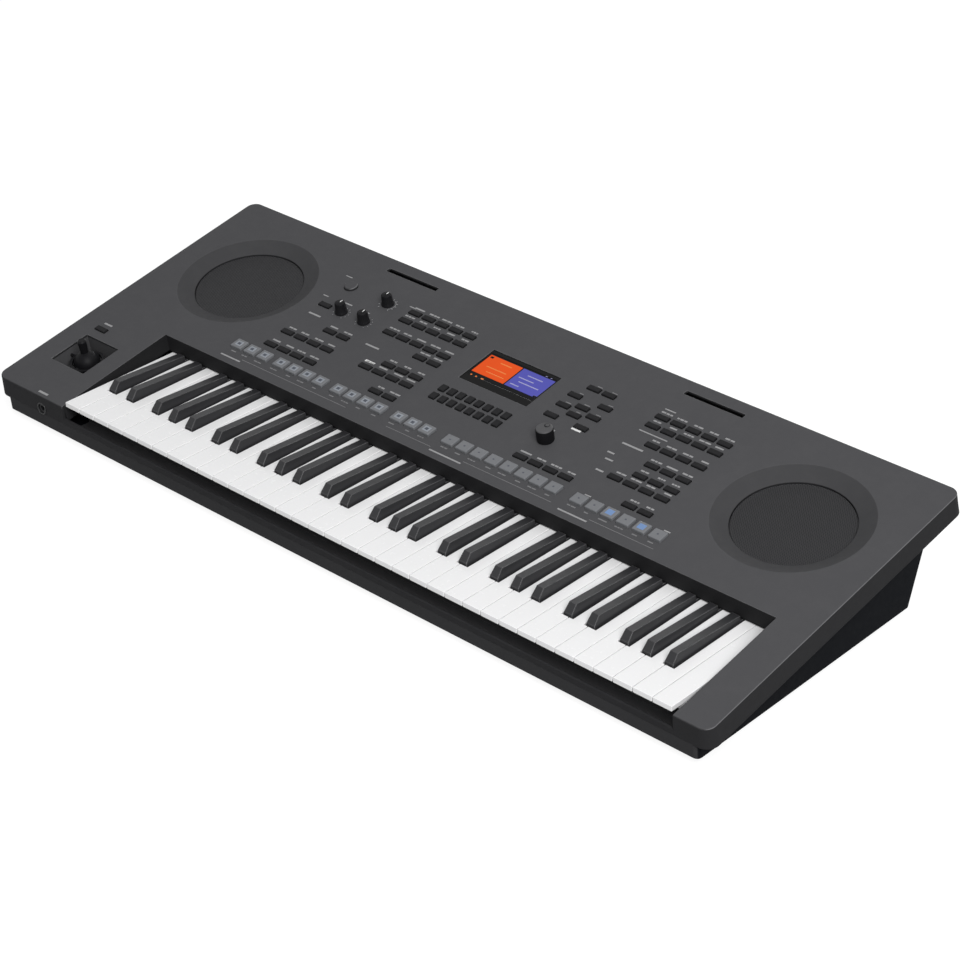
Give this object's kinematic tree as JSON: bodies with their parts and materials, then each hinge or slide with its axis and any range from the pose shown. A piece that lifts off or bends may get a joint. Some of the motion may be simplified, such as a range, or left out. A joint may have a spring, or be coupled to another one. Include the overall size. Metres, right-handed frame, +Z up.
{
  "type": "arranger keyboard",
  "caption": "Portable arranger keyboard with a sloping panel, comb-moulded keys, round speakers, small display, push buttons, knobs and a joystick.",
  "frame": {"origin": "middle of the bounding box's footprint, on the plane that the feet stand on", "axes": "+X to the right along the keys, +Y from the player to the rear, +Z up"},
  "size_m": [1.008, 0.409, 0.1274],
  "materials": {
    "case": "fine texture",
    "lower_case": "fine texture",
    "rubber": "matte",
    "screw": "blackened",
    "grille": "woven mesh",
    "basket": "satin",
    "paper": "matte",
    "magnet": "dull",
    "glass": "clear",
    "display": "lit",
    "frame": "matte",
    "felt": "felt",
    "board": "satin",
    "socket": "gloss",
    "metal": "bright",
    "white_key": "gloss",
    "black_key": "satin",
    "button": "satin",
    "pad": "translucent",
    "knob": "satin"
  },
  "bodies": {
    "case": {"bottom_case": "lower_case", "case_screws": "screw", "dc_inlet": "socket", "display_module": "display", "display_window": "glass", "jack_board": "board", "joystick_housing": "frame", "key_contact_board": "board", "key_contact_rubber": "rubber", "key_frame": "frame", "key_stop_felt": "felt", "left_speaker_cone": "paper", "left_speaker_frame": "basket", "left_speaker_grille": "grille", "left_speaker_magnet": "magnet", "line_out_jacks": "socket", "main_board": "board", "panel_board_left": "board", "panel_board_right": "board", "pedal_jack": "socket", "phones_jack": "socket", "right_speaker_cone": "paper", "right_speaker_frame": "basket", "right_speaker_grille": "grille", "right_speaker_magnet": "magnet", "rubber_feet": "rubber", "top_case": "case", "usb_socket": "metal"},
    "octave1_black_comb": {"octave1_black_comb": "black_key"},
    "octave1_white_comb_cegb": {"octave1_white_comb_cegb": "white_key"},
    "octave1_white_comb_dfa": {"octave1_white_comb_dfa": "white_key"},
    "octave2_black_comb": {"octave2_black_comb": "black_key"},
    "octave2_white_comb_cegb": {"octave2_white_comb_cegb": "white_key"},
    "octave2_white_comb_dfa": {"octave2_white_comb_dfa": "white_key"},
    "octave3_black_comb": {"octave3_black_comb": "black_key"},
    "octave3_white_comb_cegb": {"octave3_white_comb_cegb": "white_key"},
    "octave3_white_comb_dfa": {"octave3_white_comb_dfa": "white_key"},
    "octave4_black_comb": {"octave4_black_comb": "black_key"},
    "octave4_white_comb_cegb": {"octave4_white_comb_cegb": "white_key"},
    "octave4_white_comb_dfa": {"octave4_white_comb_dfa": "white_key"},
    "octave5_black_comb": {"octave5_black_comb": "black_key"},
    "octave5_white_comb_cegb": {"octave5_white_comb_cegb": "white_key"},
    "octave5_white_comb_dfa": {"octave5_white_comb_dfa": "white_key"},
    "top_c_key": {"top_c_key": "white_key"},
    "left_buttons": {"left_buttons": "button"},
    "style_buttons": {"style_buttons": "button"},
    "display_buttons": {"display_buttons": "button"},
    "cursor_buttons": {"cursor_buttons": "button"},
    "page_buttons": {"page_buttons": "button"},
    "voice_buttons": {"voice_buttons": "button"},
    "left_pads": {"left_pads": "pad"},
    "right_pads": {"right_pads": "pad"},
    "joystick_button": {"joystick_button": "button"},
    "power_button": {"power_button": "case"},
    "upper_knob": {"upper_knob": "knob"},
    "left_knob": {"left_knob": "knob"},
    "right_knob": {"right_knob": "knob"},
    "data_dial": {"data_dial": "knob"},
    "joystick_yoke": {"joystick_yoke": "knob"},
    "joystick_lever": {"joystick_lever": "knob"}
  },
  "joints": [
    {"name": "joystick_forward_back", "type": "hinge", "parent": "case", "child": "joystick_yoke", "pos_m": [-0.444, -0.12179, 0.05329], "axis": [1, 0, 0], "range_deg": [-20, 20], "stiffness_Nm_per_rad": 0.4},
    {"name": "joystick_side_to_side", "type": "hinge", "parent": "joystick_yoke", "child": "joystick_lever", "pos_m": [-0.444, -0.12179, 0.05329], "axis": [0, 0.9829, 0.184], "range_deg": [-20, 20], "stiffness_Nm_per_rad": 0.4},
    {"name": "left_buttons_press", "type": "slide", "parent": "case", "child": "left_buttons", "axis": [0, 0.184, -0.9829], "range_m": [0, 0.001], "stiffness_N_per_m": 400, "springref_m": -0.002},
    {"name": "style_buttons_press", "type": "slide", "parent": "case", "child": "style_buttons", "axis": [0, 0.184, -0.9829], "range_m": [0, 0.001], "stiffness_N_per_m": 400, "springref_m": -0.002},
    {"name": "display_buttons_press", "type": "slide", "parent": "case", "child": "display_buttons", "axis": [0, 0.184, -0.9829], "range_m": [0, 0.001], "stiffness_N_per_m": 400, "springref_m": -0.002},
    {"name": "cursor_buttons_press", "type": "slide", "parent": "case", "child": "cursor_buttons", "axis": [0, 0.184, -0.9829], "range_m": [0, 0.001], "stiffness_N_per_m": 400, "springref_m": -0.002},
    {"name": "page_buttons_press", "type": "slide", "parent": "case", "child": "page_buttons", "axis": [0, 0.184, -0.9829], "range_m": [0, 0.001], "stiffness_N_per_m": 400, "springref_m": -0.002},
    {"name": "voice_buttons_press", "type": "slide", "parent": "case", "child": "voice_buttons", "axis": [0, 0.184, -0.9829], "range_m": [0, 0.001], "stiffness_N_per_m": 400, "springref_m": -0.002},
    {"name": "left_pads_press", "type": "slide", "parent": "case", "child": "left_pads", "axis": [0, 0.184, -0.9829], "range_m": [0, 0.001], "stiffness_N_per_m": 400, "springref_m": -0.002},
    {"name": "right_pads_press", "type": "slide", "parent": "case", "child": "right_pads", "axis": [0, 0.184, -0.9829], "range_m": [0, 0.001], "stiffness_N_per_m": 400, "springref_m": -0.002},
    {"name": "joystick_button_press", "type": "slide", "parent": "case", "child": "joystick_button", "axis": [0, 0.184, -0.9829], "range_m": [0, 0.001], "stiffness_N_per_m": 400, "springref_m": -0.002},
    {"name": "power_button_press", "type": "slide", "parent": "case", "child": "power_button", "axis": [0, 0.184, -0.9829], "range_m": [0, 0.001], "stiffness_N_per_m": 400, "springref_m": -0.002},
    {"name": "upper_knob_turn", "type": "hinge", "parent": "case", "child": "upper_knob", "pos_m": [-0.212, 0.12763, 0.11218], "axis": [0, -0.184, 0.9829], "range_deg": [-140, 140]},
    {"name": "left_knob_turn", "type": "hinge", "parent": "case", "child": "left_knob", "pos_m": [-0.247, 0.08832, 0.10482], "axis": [0, -0.184, 0.9829], "range_deg": [-140, 140]},
    {"name": "right_knob_turn", "type": "hinge", "parent": "case", "child": "right_knob", "pos_m": [-0.212, 0.08832, 0.10482], "axis": [0, -0.184, 0.9829], "range_deg": [-140, 140]},
    {"name": "data_dial_turn", "type": "hinge", "parent": "case", "child": "data_dial", "pos_m": [0.1, 0.0377, 0.09534], "axis": [0, -0.184, 0.9829], "continuous": true},
    {"name": "octave1_black_comb_press", "type": "hinge", "parent": "case", "child": "octave1_black_comb", "pos_m": [0.035, 0.0004, 0.0425], "axis": [1, 0, 0], "range_deg": [0, 2.83], "stiffness_Nm_per_rad": 11, "springref_deg": -6.88},
    {"name": "octave1_white_comb_cegb_press", "type": "hinge", "parent": "case", "child": "octave1_white_comb_cegb", "pos_m": [0.035, 0.0004, 0.0499], "axis": [1, 0, 0], "range_deg": [0, 2.83], "stiffness_Nm_per_rad": 8.8, "springref_deg": -6.88},
    {"name": "octave1_white_comb_dfa_press", "type": "hinge", "parent": "case", "child": "octave1_white_comb_dfa", "pos_m": [0.035, 0.0004, 0.0462], "axis": [1, 0, 0], "range_deg": [0, 2.83], "stiffness_Nm_per_rad": 6.6, "springref_deg": -6.88},
    {"name": "octave2_black_comb_press", "type": "hinge", "parent": "case", "child": "octave2_black_comb", "pos_m": [0.035, 0.0004, 0.0425], "axis": [1, 0, 0], "range_deg": [0, 2.83], "stiffness_Nm_per_rad": 11, "springref_deg": -6.88},
    {"name": "octave2_white_comb_cegb_press", "type": "hinge", "parent": "case", "child": "octave2_white_comb_cegb", "pos_m": [0.035, 0.0004, 0.0499], "axis": [1, 0, 0], "range_deg": [0, 2.83], "stiffness_Nm_per_rad": 8.8, "springref_deg": -6.88},
    {"name": "octave2_white_comb_dfa_press", "type": "hinge", "parent": "case", "child": "octave2_white_comb_dfa", "pos_m": [0.035, 0.0004, 0.0462], "axis": [1, 0, 0], "range_deg": [0, 2.83], "stiffness_Nm_per_rad": 6.6, "springref_deg": -6.88},
    {"name": "octave3_black_comb_press", "type": "hinge", "parent": "case", "child": "octave3_black_comb", "pos_m": [0.035, 0.0004, 0.0425], "axis": [1, 0, 0], "range_deg": [0, 2.83], "stiffness_Nm_per_rad": 11, "springref_deg": -6.88},
    {"name": "octave3_white_comb_cegb_press", "type": "hinge", "parent": "case", "child": "octave3_white_comb_cegb", "pos_m": [0.035, 0.0004, 0.0499], "axis": [1, 0, 0], "range_deg": [0, 2.83], "stiffness_Nm_per_rad": 8.8, "springref_deg": -6.88},
    {"name": "octave3_white_comb_dfa_press", "type": "hinge", "parent": "case", "child": "octave3_white_comb_dfa", "pos_m": [0.035, 0.0004, 0.0462], "axis": [1, 0, 0], "range_deg": [0, 2.83], "stiffness_Nm_per_rad": 6.6, "springref_deg": -6.88},
    {"name": "octave4_black_comb_press", "type": "hinge", "parent": "case", "child": "octave4_black_comb", "pos_m": [0.035, 0.0004, 0.0425], "axis": [1, 0, 0], "range_deg": [0, 2.83], "stiffness_Nm_per_rad": 11, "springref_deg": -6.88},
    {"name": "octave4_white_comb_cegb_press", "type": "hinge", "parent": "case", "child": "octave4_white_comb_cegb", "pos_m": [0.035, 0.0004, 0.0499], "axis": [1, 0, 0], "range_deg": [0, 2.83], "stiffness_Nm_per_rad": 8.8, "springref_deg": -6.88},
    {"name": "octave4_white_comb_dfa_press", "type": "hinge", "parent": "case", "child": "octave4_white_comb_dfa", "pos_m": [0.035, 0.0004, 0.0462], "axis": [1, 0, 0], "range_deg": [0, 2.83], "stiffness_Nm_per_rad": 6.6, "springref_deg": -6.88},
    {"name": "octave5_black_comb_press", "type": "hinge", "parent": "case", "child": "octave5_black_comb", "pos_m": [0.035, 0.0004, 0.0425], "axis": [1, 0, 0], "range_deg": [0, 2.83], "stiffness_Nm_per_rad": 11, "springref_deg": -6.88},
    {"name": "octave5_white_comb_cegb_press", "type": "hinge", "parent": "case", "child": "octave5_white_comb_cegb", "pos_m": [0.035, 0.0004, 0.0499], "axis": [1, 0, 0], "range_deg": [0, 2.83], "stiffness_Nm_per_rad": 8.8, "springref_deg": -6.88},
    {"name": "octave5_white_comb_dfa_press", "type": "hinge", "parent": "case", "child": "octave5_white_comb_dfa", "pos_m": [0.035, 0.0004, 0.0462], "axis": [1, 0, 0], "range_deg": [0, 2.83], "stiffness_Nm_per_rad": 6.6, "springref_deg": -6.88},
    {"name": "top_c_key_press", "type": "hinge", "parent": "case", "child": "top_c_key", "pos_m": [0.035, 0.0004, 0.0499], "axis": [1, 0, 0], "range_deg": [0, 2.83], "stiffness_Nm_per_rad": 2.2, "springref_deg": -6.88}
  ]
}
